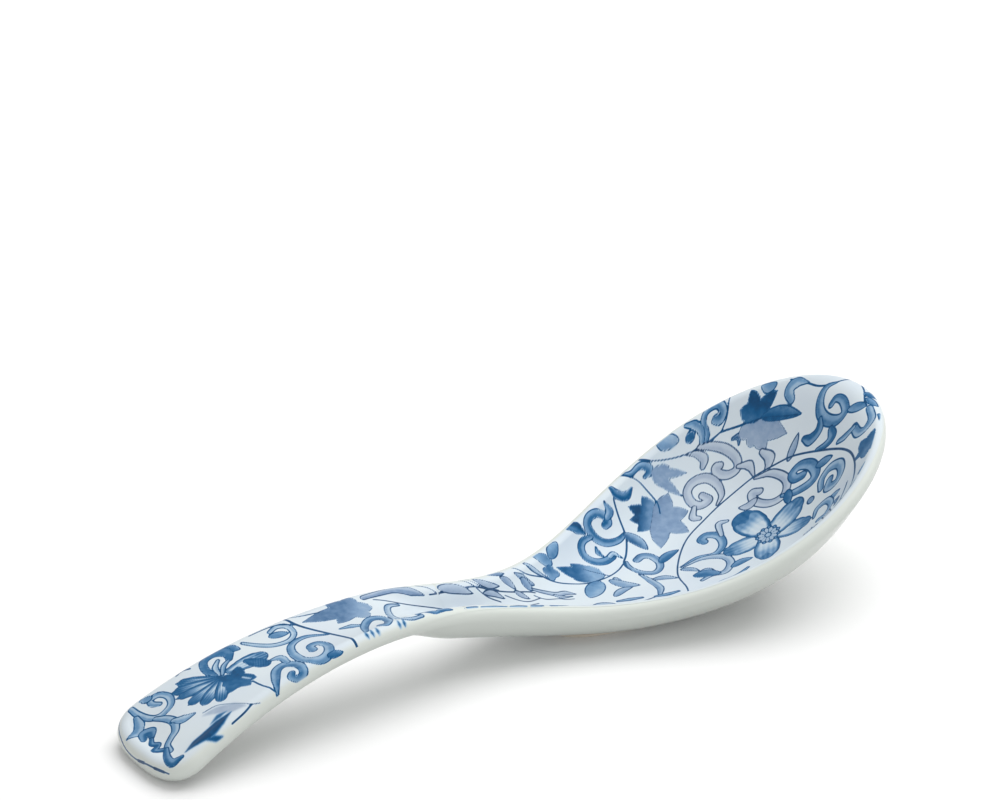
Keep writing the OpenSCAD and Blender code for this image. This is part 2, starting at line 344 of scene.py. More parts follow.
def make_glaze_coat():
    """The clear coat as it is seen, opaque over the porcelain: an outer skin, a thin edge round
    the foot and an inner skin."""
    inner = Skin(GLAZE_IN, upper=8, edge=6, lower=8)
    base = COAT.size
    points = np.concatenate([COAT.points.reshape(-1, 3), inner.points.reshape(-1, 3)])
    normals = np.concatenate([COAT.normals.reshape(-1, 3), -inner.normals.reshape(-1, 3)])
    edge = ring_faces(COAT.index[-1][FOOT_LOOP], base + inner.index[-1][FOOT_LOOP])
    faces = list(COAT.quads()) + list(inner.quads()[:, ::-1] + base) + edge
    obj, used = make_mesh("glaze_coat", points, faces, normals)
    row = used // COLUMNS
    uv = np.where((row <= COAT.rim_row)[:, None], chart(points[used]), chart(points[used], True))
    hidden = used >= base
    uv[hidden] = HIDDEN_MAP + HIDDEN_MAP*uv[hidden]
    lay_chart(obj, uv)
    add_values(obj, "face", limit((COAT.rim_row - FACE_ROWS - row)/FACE_FADE_ROWS)*(used < base))
    return obj


# Rounding of the foot's edge, in millimetres, and the steps that it is made in
FOOT_ROUND = 0.3
ROUND_STEPS = 6


def make_biscuit_body():
    """The fired body, which shows at the unglazed foot: a step, a wall and a round-edged base."""
    skin = Skin(0, upper=12, edge=8, lower=12)
    seat = skin.points[-1][FOOT_LOOP]
    count = len(FOOT_LOOP)
    radial = unit(seat*(1/STOP_A**2, 1/STOP_B**2, 0))
    down = np.array((0.0, 0.0, -1.0))
    half = np.array((STOP_A, STOP_B, 1.0))

    def ring(inset, z, slant):
        points = seat*(1 - inset/half)
        points[:, 2] = z
        return points, radial*math.cos(slant) + down*math.sin(slant)

    rings = [ring(GLAZE_STOP, seat[:, 2], math.pi/2), ring(GLAZE_STOP, seat[:, 2], 0)]
    for i in range(ROUND_STEPS + 1):
        slant = math.pi/2*i/ROUND_STEPS
        inset = GLAZE_STOP + FOOT_ROUND*(1 - math.cos(slant))
        rings.append(ring(inset, FOOT_ROUND*(1 - math.sin(slant)), slant))
    rings.append(ring(GLAZE_STOP + 2*FOOT_ROUND, 0, math.pi/2))
    base = skin.size
    points = np.concatenate([skin.points.reshape(-1, 3)] + [p for p, n in rings])
    normals = np.concatenate([skin.normals.reshape(-1, 3)] + [n for p, n in rings])
    loops = [skin.index[-1][FOOT_LOOP]] + [base + i*count + np.arange(count) for i in range(len(rings))]
    faces = list(skin.quads())
    for outer, inner in zip(loops, loops[1:]):
        faces += ring_faces(outer, inner)
    rim = loops[-1]
    faces += [(rim[i], rim[i + 1], rim[-i - 1], rim[-i]) for i in range(1, count//2 - 1)]
    faces += [(rim[0], rim[1], rim[-1]), (rim[count//2 - 1], rim[count//2], rim[count//2 + 1])]
    obj, used = make_mesh("biscuit_body", points, faces, normals)
    lay_chart(obj, chart(points[used]))
    return obj


def srgb(red, green, blue):
    """A colour as the eye reads it on screen, 0 to 255, as the linear one that nodes take."""
    parts = [c/255 for c in (red, green, blue)]
    return tuple(c/12.92 if c <= 0.04045 else ((c + 0.055)/1.055)**2.4 for c in parts) + (1.0,)


class Nodes:
    """Short calls to build a node tree."""

    def __init__(self, tree):
        self.tree = tree

    def add(self, kind, inputs=None, **settings):
        """A node with its settings, its inputs given as values or as sockets to link."""
        node = self.tree.nodes.new(kind)
        for key, value in settings.items():
            setattr(node, key, value)
        for key, value in (inputs or {}).items():
            self.put(value, node.inputs[key])
        return node

    def put(self, value, socket):
        if isinstance(value, bpy.types.NodeSocket):
            self.tree.links.new(value, socket)
        else:
            socket.default_value = value

    def mix(self, factor, first, second):
        inputs = {0: factor, 6: first, 7: second}
        return self.add("ShaderNodeMix", inputs, data_type="RGBA").outputs[2]

    def math(self, operation, first, second, clamp=False):
        node = self.add("ShaderNodeMath", {0: first, 1: second}, operation=operation, use_clamp=clamp)
        return node.outputs[0]

    def ramp(self, value, low=0.0, high=1.0, first=0.0, final=1.0, kind="LINEAR"):
        """From the first result at low to the final one at high, and level beyond."""
        inputs = {"Value": value, "From Min": low, "From Max": high, "To Min": first, "To Max": final}
        return self.add("ShaderNodeMapRange", inputs, interpolation_type=kind).outputs[0]

    def place(self, space):
        return self.add("ShaderNodeTexCoord").outputs[space]

    def height(self, space):
        return self.add("ShaderNodeSeparateXYZ", {0: self.place(space)}).outputs["Z"]

    def noise(self, scale, detail=2.0):
        """Clouds or grain, about as many to the metre as the scale says."""
        inputs = {"Vector": self.place("Object"), "Scale": scale, "Detail": detail}
        return self.add("ShaderNodeTexNoise", inputs).outputs[0]

    def value(self, name):
        return self.add("ShaderNodeAttribute", attribute_name=name).outputs["Fac"]


class Paint(Nodes):
    """The node tree of a new material."""

    def __init__(self, name):
        self.material = bpy.data.materials.new(name)
        self.material.use_nodes = True
        super().__init__(self.material.node_tree)
        self.shader = self.tree.nodes["Principled BSDF"]

    def bump(self, height, strength, distance):
        node = self.add("ShaderNodeBump", {"Height": height, "Strength": strength, "Distance": distance})
        self.put(node.outputs[0], self.shader.inputs["Normal"])

    def finish(self, **values):
        for key, value in values.items():
            self.put(value, self.shader.inputs[key.replace("_", " ")])
        return self.material


# Colours of the glazed white, outside and in two shades on the printed face
OUTER_WHITE = srgb(226, 232, 226)
FACE_WHITE = srgb(225, 235, 240)
FACE_BLUSH = srgb(216, 227, 237)


def ground_colour(nodes):
    """The glazed white: greenish outside, a bluer white with faint clouds on the printed face."""
    clouds = nodes.math("SUBTRACT", nodes.noise(90.0), 0.35)
    face = nodes.mix(nodes.math("MULTIPLY", clouds, 2.2, clamp=True), FACE_WHITE, FACE_BLUSH)
    return nodes.mix(nodes.value("face"), OUTER_WHITE, face)


def glazed(nodes, colour):
    """A material's colour under a clear, glossy coat with the faint orange peel of a fired glaze."""
    nodes.bump(nodes.noise(350.0, 1.0), 0.12, 0.00006)
    return nodes.finish(Base_Color=colour, Roughness=0.3, Specular_IOR_Level=0.2,
                        Coat_Weight=0.4, Coat_Roughness=0.06, Coat_IOR=1.5)


def make_glaze_material():
    """The coat's look away from the prints."""
    nodes = Paint("clear_glaze_over_porcelain")
    return glazed(nodes, ground_colour(nodes))


# Heights in metres over which the fired clay is toasted, up to the glaze
TOAST_RISE = 0.0003, 0.0011


def make_biscuit_material():
    """Bare fired clay: fine grain, and a toasted line where the glaze stops."""
    nodes = Paint("bare_biscuit")
    grain = nodes.noise(2600.0, 4.0)
    toast = nodes.math("MULTIPLY", nodes.ramp(nodes.height("Object"), *TOAST_RISE), 0.75)
    clay = nodes.mix(grain, srgb(222, 212, 196), srgb(236, 230, 218))
    nodes.bump(grain, 0.35, 0.00005)
    return nodes.finish(Base_Color=nodes.mix(toast, clay, srgb(178, 142, 108)), Roughness=0.82)


# The floor: its half width in metres, its grey for the light that it gives back, and its faint glow
FLOOR_HALF, FLOOR_GREY, FLOOR_GLOW = 3.0, 0.6, 0.02


def make_stage():
    """A plain floor that takes the spoon's shadow, and shows white to the camera and in the glaze."""
    nodes = Paint("floor_white")
    nodes.finish(Base_Color=(FLOOR_GREY, FLOOR_GREY, FLOOR_GREY, 1), Roughness=1.0, Specular_IOR_Level=0.0)
    bright = nodes.add("ShaderNodeBsdfDiffuse", {"Color": (1, 1, 1, 1)}).outputs[0]
    glow = nodes.add("ShaderNodeEmission", {"Strength": FLOOR_GLOW}).outputs[0]
    white = nodes.add("ShaderNodeAddShader", {0: bright, 1: glow}).outputs[0]
    rays = nodes.add("ShaderNodeLightPath").outputs
    sight = nodes.math("MAXIMUM", rays["Is Camera Ray"], rays["Is Glossy Ray"])
    shown = nodes.add("ShaderNodeMixShader", {0: sight, 1: nodes.shader.outputs[0], 2: white}).outputs[0]
    nodes.put(shown, nodes.tree.nodes["Material Output"].inputs["Surface"])
    mesh = bpy.data.meshes.new("floor")
    corners = [(x*FLOOR_HALF, y*FLOOR_HALF, 0) for x, y in ((-1, -1), (1, -1), (1, 1), (-1, 1))]
    mesh.from_pydata(corners, [], [(0, 1, 2, 3)])
    mesh.materials.append(nodes.material)
    floor = add_object("floor", mesh)


# The sky's brightness below and above, and the lamps' watts, widths and places in metres
SKY_LOW, SKY_HIGH = 0.42, 0.48
KEY_POWER, KEY_SIZE, KEY_FROM = 11.5, 1.4, Vector((0.5, 0.15, 1.0))
FILL_POWER, FILL_SIZE, FILL_FROM = 9.0, 0.5, Vector((-0.7, -2.2, 0.7))


def make_lamp(name, power, size, place):
    """A round lamp turned to the spoon, which isn't mirrored in the glaze."""
    lamp = bpy.data.lights.new(name, "AREA")
    lamp.energy = power
    lamp.shape = "DISK"
    lamp.size = size
    obj = add_object(name, lamp)
    obj.visible_glossy = False
    obj.location = place
    obj.rotation_euler = (-place).to_track_quat("-Z", "Y").to_euler()


def make_light():
    """Pale surroundings, a large soft lamp above the spoon on the right and a small one in front."""
    world = bpy.data.worlds.new("studio")
    bpy.context.scene.world = world
    world.use_nodes = True
    nodes = Nodes(world.node_tree)
    sky = nodes.ramp(nodes.height("Generated"), first=SKY_LOW, final=SKY_HIGH)
    sight = nodes.add("ShaderNodeLightPath").outputs["Is Camera Ray"]
    back = nodes.tree.nodes["Background"].inputs
    nodes.put((1, 1, 1, 1), back["Color"])
    nodes.put(nodes.ramp(sight, first=sky), back["Strength"])
    make_lamp("key", KEY_POWER, KEY_SIZE, KEY_FROM)
    make_lamp("fill", FILL_POWER, FILL_SIZE, FILL_FROM)


# The photograph's view: a long lens, turned 33 degrees to the right and looking 26.5 degrees down
VIEW_TURN = math.radians(33.0)
VIEW_TILT = math.radians(26.5)
VIEW_ROLL = math.radians(0.66)
CAMERA_AT = Vector((-0.44851, -0.65490, 0.43771))
LENS_MM = 184.8


def make_camera():
    """The camera at the photo's angle and distance."""
    forward = Vector((math.sin(VIEW_TURN)*math.cos(VIEW_TILT), math.cos(VIEW_TURN)*math.cos(VIEW_TILT),
                      -math.sin(VIEW_TILT)))
    right = Vector((math.cos(VIEW_TURN), -math.sin(VIEW_TURN), 0))
    up = right.cross(forward)
    level, slope = math.cos(VIEW_ROLL), math.sin(VIEW_ROLL)
    right, up = right*level - up*slope, up*level + right*slope
    data = bpy.data.cameras.new("camera")
    data.lens = LENS_MM
    data.sensor_width = 36.0
    data.sensor_fit = "HORIZONTAL"
    data.clip_start = 0.01
    camera = add_object("camera", data)
    attitude = Matrix((right, up, -forward)).transposed().to_4x4()
    camera.matrix_world = Matrix.Translation(CAMERA_AT) @ attitude
    bpy.context.scene.camera = camera
    bpy.context.scene.view_settings.view_transform = "Standard"


# The pattern is drawn flat, in millimetres: x along the spoon, v across it measured over the surface,
# plus towards the far side. Each point of a printed sheet then takes its ink from that drawing.
# Steps of the grid that the surface is measured on
FLAT_X, FLAT_Y = 0.5, 0.25
# Half width of an outline, and the distance from a line that stands for no line
LINE_HALF = 0.11
NO_LINE = 9.0
# How much darker a scroll's end is, and how softly a stain without an outline fades
BULB = 0.12
BLUR = 0.7
# How far the sheets go round the rim, in degrees, in the bowl and on the handle, and where along the
# spoon the one starts to turn into the other and over which distance
WRAP_BOWL, WRAP_HANDLE = 70.0, 115.0
WRAP_FROM, WRAP_RUN = -12.0, 34.0
# How far past the rim's top the bluer white of the face ends, and over which distance
FACE_END, FACE_FADE = 2.2, 1.0


def measure_across():
    """Distance over the coat from the middle line, on a grid of x and y, for one side."""
    tree = BVHTree.FromPolygons(COAT.points.reshape(-1, 3).tolist(), clean_faces(COAT.quads()))
    xs = np.arange(-HANDLE_REACH, BOWL_REACH + FLAT_X, FLAT_X)
    ys = np.arange(0, BOWL_WIDTH/2 + 1, FLAT_Y)
    down = Vector((0, 0, -1))
    across = np.zeros((len(xs), len(ys)))
    for i, x in enumerate(xs):
        before = None
        for j, y in enumerate(ys):
            hit = tree.ray_cast(Vector((x, y, LIP_HEIGHT*2)), down)[0]
            rise = hit.z - before if hit is not None and before is not None else 0.0
            before = hit.z if hit is not None else None
            if j:
                across[i, j] = across[i, j - 1] + math.hypot(FLAT_Y, rise)
    return across


ACROSS = measure_across()


def flatten(points):
    """Flat place (x, v) of points on the face."""
    across_x = np.clip((points[..., 0] + HANDLE_REACH)/FLAT_X, 0, ACROSS.shape[0] - 1.001)
    across_y = np.clip(np.abs(points[..., 1])/FLAT_Y, 0, ACROSS.shape[1] - 1.001)
    i, j = across_x.astype(int), across_y.astype(int)
    a, b = across_x - i, across_y - j
    v = ((ACROSS[i, j]*(1 - a) + ACROSS[i + 1, j]*a)*(1 - b)
         + (ACROSS[i, j + 1]*(1 - a) + ACROSS[i + 1, j + 1]*a)*b)
    return np.stack([points[..., 0], v*np.sign(points[..., 1])], -1)


class Sheet:
    """A printed sheet over the face and round the rim's edge, with the ink at each of its points."""

    def __init__(self, places, across, over):
        half = turn_to(places)
        at_end = places[0] <= -HANDLE_REACH
        turns = np.concatenate([-half[:0:-1], half] if at_end else [half, 2*np.pi - half[-2::-1]])
        point, up, out, wall = cells(turns[None], np.linspace(0, 1, across + 1)[:, None])
        lift = wall/2 + GLAZE_OUT
        self.points = [point + up*lift]
        self.normals = [up]
        flat = [flatten(self.points[0])]
        x = point[-1, :, 0]
        wrap = np.radians(WRAP_BOWL + (WRAP_HANDLE - WRAP_BOWL)*smooth((WRAP_FROM - x)/WRAP_RUN))
        for i in range(1, over + 1):
            angle = (wrap*i/over)[None, :, None]
            normal = up[-1:]*np.cos(angle) + out[-1:]*np.sin(angle)
            self.points.append(point[-1:] + normal*lift[-1:])
            self.normals.append(normal)
            flat.append(flat[0][-1:] + unit(out[-1:, :, :2])*angle*lift[-1:])
        self.points, self.normals = np.concatenate(self.points), unit(np.concatenate(self.normals))
        self.points[0, :, 1] = 0
        self.flat = np.concatenate(flat)
        self.shape = self.points.shape[:2]
        steps = np.linalg.norm(np.diff(self.points, axis=0), axis=-1)
        arc = np.concatenate([np.zeros((1, self.shape[1])), np.cumsum(steps, 0)])
        self.beyond = arc - arc[across]
        columns = np.arange(self.shape[1])
        self.index = np.arange(self.points.size//3).reshape(self.shape)
        self.index[0] = self.index[0][np.minimum(columns, columns[::-1])]
        self.line = np.full(self.shape, NO_LINE)
        self.tone = np.zeros(self.shape)
        self.grey = np.zeros(self.shape)

    def make(self, name, colour):
        """The sheet's mesh, with its ink as named values and the flat drawing as its map."""
        i = self.index
        faces = np.stack([i[:-1, :-1], i[:-1, 1:], i[1:, 1:], i[1:, :-1]], -1).reshape(-1, 4)
        points, normals = self.points.reshape(-1, 3), self.normals.reshape(-1, 3)
        obj, used = make_mesh(name, points, faces, normals)
        obj.data.materials.append(colour)
        face = limit((FACE_END - self.beyond)/FACE_FADE)
        for key, values in (("line", self.line), ("tone", self.tone), ("grey", self.grey), ("face", face)):
            add_values(obj, key, values.ravel()[used])
        flat = self.flat.reshape(-1, 2)[used]
        low, high = flat.min(0), flat.max(0)
        lay_chart(obj, 0.01 + 0.98*(flat - low)/(high - low).max())
        return obj

    def near(self, low, high, reach):
        """Which points lie within reach of a box of the flat drawing."""
        inside = ((self.flat > low - reach) & (self.flat < high + reach)).all(-1)
        return np.nonzero(inside.ravel())[0]

    def lay(self, where, depth, tone, grey=0.0, half=LINE_HALF):
        """Ink a shape: depth is below 0 inside it. Its tone covers what lies below, its outline too."""
        line, shade, greys = self.line.ravel(), self.tone.ravel(), self.grey.ravel()
        inside = depth < 0
        line[where] = np.minimum(np.where(inside, NO_LINE, line[where]), np.abs(depth) - half + LINE_HALF)
        shade[where] = np.where(inside, tone, shade[where])
        greys[where] = np.where(depth < half, grey, greys[where])

    def wash(self, where, depth, tone, grey):
        """A soft stain without an outline."""
        shade, greys = self.tone.ravel(), self.grey.ravel()
        stain = tone*smooth(-depth/BLUR)
        greys[where] = np.where(stain > shade[where], grey, greys[where])
        shade[where] = np.maximum(shade[where], stain)

    def ink_line(self, where, distance, half, grey):
        """A plain inked line over what is there."""
        line, greys = self.line.ravel(), self.grey.ravel()
        line[where] = np.minimum(line[where], distance - half + LINE_HALF)
        greys[where] = np.where(distance < half*1.5, grey, greys[where])


# Points of a drawn path between each two given ones, and the least half width of a pointed shape
PATH_STEPS = 6
THINNEST = 0.02


def soft_path(p):
    """A smooth run of points through the given ones, in even steps between each two."""
    shares = np.arange(PATH_STEPS)[:, None]/PATH_STEPS
    if len(p) < 3:
        return np.concatenate([p[0] + (p[1] - p[0])*shares, p[1:]])
    ends = np.concatenate([[2*p[0] - p[1]], p, [2*p[-1] - p[-2]]])
    parts = []
    for a, b, c, d in zip(ends, ends[1:], ends[2:], ends[3:]):
        for t in shares:
            parts.append(0.5*(2*b + (c - a)*t + (2*a - 5*b + 4*c - d)*t*t + (3*b - a - 3*c + d)*t**3))
    return np.array(parts + [p[-1]])


def spread(widths, path):
    """Half widths at each point of a path, running evenly through the given ones."""
    return np.interp(np.linspace(0, 1, len(path)), np.linspace(0, 1, len(widths)), widths)


def to_path(place, path, halves):
    """For each place: depth outside a run of discs along the path, how far along, and which side."""
    a, b = path[:-1], path[1:]
    run = b - a
    size = np.maximum((run*run).sum(-1), 1e-9)
    off = place[:, None] - a[None]
    share = limit((off*run).sum(-1)/size)
    gap = off - share[..., None]*run
    far = np.sqrt((gap*gap).sum(-1))
    half = halves[:-1] + (halves[1:] - halves[:-1])*share
    pick = (far - half).argmin(1)
    row = np.arange(len(place))
    side = run[pick, 0]*off[row, pick, 1] - run[pick, 1]*off[row, pick, 0]
    along = (pick + share[row, pick])/len(a)
    return (far - half)[row, pick], along, side/np.sqrt(size[pick]), far[row, pick]


def behind_lip(place):
    """Which places of the bowl lie low on the near wall, where the near lip hides them in the photo."""
    return place[:, 1] < -6.5 - 0.24*np.maximum(0, place[:, 0] - 5)


class Drawing:
    """Shapes of the pattern, drawn on every sheet that they reach; on side -1, mirrored on the near
    wall. A run of places is written as x, v, x, v."""

    def __init__(self, sheets, side=1):
        self.sheets = sheets
        self.side = side

    def at(self, *numbers):
        """Places of the drawing, or their mirror images on the near side."""
        return np.reshape(numbers, (-1, 2))*(1.0, self.side)

    def each(self, path, reach):
        """Each sheet within reach of a path, which of its points are, and their places."""
        for sheet in self.sheets:
            where = sheet.near(path.min(0), path.max(0), reach)
            if self.side < 0:
                where = where[behind_lip(sheet.flat.reshape(-1, 2)[where])]
            if len(where):
                yield sheet, where, sheet.flat.reshape(-1, 2)[where]

    def traced(self, path, halves, reach):
        """Each sheet within reach of a path, which of its points are, and how they lie to it."""
        for sheet, where, place in self.each(path, reach):
            yield sheet, where, *to_path(place, path, halves)

    def vine(self, places, half=0.2, grey=0.0):
        """A plain line."""
        path = soft_path(self.at(places))
        for sheet, where, *_, far in self.traced(path, spread([half], path), 2*half + 0.5):
            sheet.ink_line(where, far, half, grey)

    def band(self, places, widths, tone, grey=0.0, shine=0.38):
        """A scroll: a ribbon whose half width runs through the given widths, paler along one side."""
        path = soft_path(self.at(places))
        halves = spread(widths, path)
        wide = max(widths)
        for sheet, where, depth, along, side, _ in self.traced(path, halves, wide + 0.5):
            lean = np.clip(side/max(wide, 0.3), -1, 1)
            shade = tone*(1 - shine*smooth(0.5 + 1.6*lean) + BULB*smooth(4*along - 3))
            sheet.lay(where, depth, shade, grey)

    def leaf(self, root, tip, width, bend=0.0, tone=(0.7, 0.45), grey=0.0):
        """A pointed leaf; its tone changes from one side of its middle to the other."""
        root, tip = self.at(root, tip)
        run = tip - root
        path = soft_path(np.array([root, (root + tip)/2 + np.array((-run[1], run[0]))*bend, tip]))
        halves = np.maximum(THINNEST, width/2*np.sin(np.pi*np.linspace(0, 1, len(path))**0.8)**0.8)
        for sheet, where, depth, along, side, _ in self.traced(path, halves, width/2 + 0.6):
            shade = tone[0] + (tone[1] - tone[0])*smooth(0.5 + side/width*1.5)
            sheet.lay(where, depth, shade*(1.1 - 0.3*along), grey)

    def lobes(self, root, tips, width, tone, turn, grey=0.0, split=0.0):
        """A lobed leaf: pointed lobes from one root, dark past the split in the turn's direction."""
        root, tips = self.at(root)[0], self.at(tips)
        paths = [soft_path(np.array([root, (root + tip)/2, tip])) for tip in tips]
        t = np.linspace(0, 1, len(paths[0]))
        profile = (0.4, 0.5, 0.4, 0.22, 0)
        halves = np.maximum(THINNEST, width*np.interp(t, (0, 0.35, 0.6, 0.8, 1), profile))
        reach = max(np.linalg.norm(tips - root, axis=1))
        aim = self.at(math.cos(turn), math.sin(turn))[0]
        for sheet, where, place in self.each(np.concatenate(paths), width):
            depth = np.min([to_path(place, path, halves)[0] for path in paths], 0)
            blend = smooth(0.5 + 2.2*(((place - root) @ aim)/reach - split))
            sheet.lay(where, depth, tone[1] + (tone[0] - tone[1])*blend, grey, LINE_HALF*0.6)

    def petal(self, heart, tip, width, tone=(0.2, 0.9), streaks=0.16, sharp=0.0):
        """A petal, rounded or sharp at its tip, pale at the heart and dark at its edge."""
        path = soft_path(self.at(heart, tip))
        profile = (0.42, 0.8, 1, 0.86 - sharp, 0.5 - sharp, 0)
        t = np.linspace(0, 1, len(path))
        halves = np.maximum(THINNEST, width/2*np.interp(t, (0, 0.3, 0.6, 0.8, 0.93, 1), profile))
        for sheet, where, depth, along, side, _ in self.traced(path, halves, width/2 + 0.6):
            streak = streaks*np.sin(side/width*34)*limit(along*3 - 0.4)
            edge = smooth(1.2 + depth/0.7)
            shade = tone[0] + (tone[1] - tone[0])*np.maximum(edge*0.9, smooth(along*1.5 - 0.5))
            sheet.lay(where, depth, limit(shade + streak))

    def spot(self, at, half, tone, grey=0.0):
        """A round shape."""
        at = self.at(at)
        for sheet, where, place in self.each(at, half + 0.6):
            sheet.lay(where, np.linalg.norm(place - at, axis=1) - half, tone, grey)

    def smear(self, places, widths, tone, grey=0.0):
        """A stain that fades to its edge."""
        path = soft_path(self.at(places))
        for sheet, where, depth, *_ in self.traced(path, spread(widths, path), max(widths) + 0.5):
            sheet.wash(where, depth, tone, grey)


def draw_handle_end(d):
    """The scroll, leaf and comma curl at the handle's end, and the line round its end face."""
    d.band((-92.2, 9.2, -91.8, 7, -90.8, 4.2, -89.4, 3.2, -87.4, 3.8, -86.6, 5.8, -87.4, 7.6, -89, 8,
            -89.2, 7, -88.4, 5.8), (0.5, 0.6, 0.55, 0.6, 0.6, 0.6, 0.5, 0.5, 0.5, 0.4), 0.48)
    d.leaf((-88.6, 8.2), (-90.4, 9.6), 1.2, 0.1, (0.55, 0.45))
    d.band((-92.4, 6.8, -92.9, 5, -94.2, 3.8, -96.2, 4), (0.5, 0.9, 0.8, 0.05), 0.56)
    d.band((-90.6, 3.6, -89.6, 1.6, -89.2, -0.4, -90, -2.2, -91.2, -2.8, -92.4, -3.6, -92.8, -5.2),
           (0.4, 0.6, 0.7, 0.65, 0.55, 0.5, 0.5), 0.48)
    d.band((-89.2, 0, -88, -1.4, -86.2, -2), (0.4, 0.8, 0.2), 0.44)
    d.band((-94.2, 1.4, -93.4, 2.6, -92.4, 1.8, -93, 0.6), (0.5, 0.9, 0.8, 0.4), 0.82)
    d.band((-93.2, 0.4, -93.8, -0.8, -93.2, -2, -94.4, -2.6, -93.6, -3.6, -93, -4.2),
           (0.3, 0.45, 0.4, 0.5, 0.4, 0.4), 0.9)
    d.band((-93, -4.2, -94, -6.2, -94.4, -8.2, -92.8, -8.8), (0.4, 0.6, 0.8, 0.4), 0.82)
    d.vine((-94.2, 10, -95.8, 7.8, -96.8, 5.4, -97.5, 3.4, -97.8, 1.4, -97.7, -1, -97.2, -3.4, -96.8, -6,
            -96.3, -8.8), 0.14, 0.6)
    d.vine((-97.7, -1, -97.3, -2.8), 0.26, 0.6)
    d.vine((-96.9, -5.6, -96.5, -7.8), 0.24, 0.6)


def draw_peony(d):
    """The streaked peony on the handle, with its dark calyx and the stem that it hangs from."""
    heart = (-78.6, 1.2)
    d.leaf((-75.4, 7.8), (-72.6, 5.6), 1.7, 0.1, (0.8, 0.65))
    d.band((-78.7, 2.6, -79.4, 5.4, -78.6, 7.7, -76.4, 8.1, -74.7, 6.5, -75.2, 4.8),
           (0.4, 0.6, 0.7, 0.95, 1.0, 0.5), 0.72, shine=0.1)
    d.band((-78.4, 2.6, -78, 4.8, -76.8, 6), (0.3, 0.5, 0.3), 0.36)
    d.band((-78, 2.4, -76.8, 4, -75.6, 4.6), (0.3, 0.45, 0.3), 0.5)
    d.petal((-76.6, 2.2), (-70.2, 1.2), 3.6, (0.2, 0.74))
    d.petal((-73.4, 2.2), (-71.2, -1.6), 2.4, (0.75, 0.95))
    for tip, width in (((-84.4, 7.2), 2.4), ((-86, 6), 2.5), ((-86.2, 4), 2.2), ((-85.8, 0.6), 2.5),
                       ((-84.3, -1.6), 2.5), ((-81.8, -3.5), 2.4)):
        d.petal(heart, tip, width)
    d.lobes((-77, -0.8), (-79.9, -2.9, -79.6, -0.4, -79, 1.9, -75.2, 2, -74.6, -3.2, -76.4, -4.2,
                          -78.2, -3), 2.5, (0.98, 0.82), 1.0)
    d.band((-76.2, -1.2, -75.5, -2.6), (0.3, 0.3), 0.4)
    d.vine((-75.6, -3.6, -75.2, -6.6, -74.4, -9.6, -74, -11), 0.16)
    d.vine((-83.4, 8.8, -82.2, 9.1, -81, 8.2), 0.2)


def draw_handle_side(d):
    """The soft-edged leaf that folds over the handle's near edge."""
    d.smear((-85.4, -3.8, -83.4, -4.8, -81.6, -6.6, -80, -8.2), (0.5, 1.2, 1.6, 0.6), 0.34, 0.9)
    d.smear((-91.6, -8.5, -89.6, -8.3, -87.2, -8.5, -84.9, -8, -82.2, -7.5), (0.5, 1.2, 1.5, 1.3, 0.4),
            1.12)
    d.smear((-88.6, -9.2, -87.2, -10.2, -86.2, -10.6), (0.4, 0.9, 0.5), 1.0)
    d.smear((-85.8, -6.8, -84, -6.4, -82.4, -6.6), (0.4, 0.9, 0.4), 0.8)
    d.vine((-85.2, -3.2, -82.6, -3.9, -80.4, -6.6, -79.2, -8.6, -77.8, -9.4), 0.1, 0.6)
    d.vine((-79, -8.8, -81, -9.4, -83.6, -9.8), 0.16, 0.3)


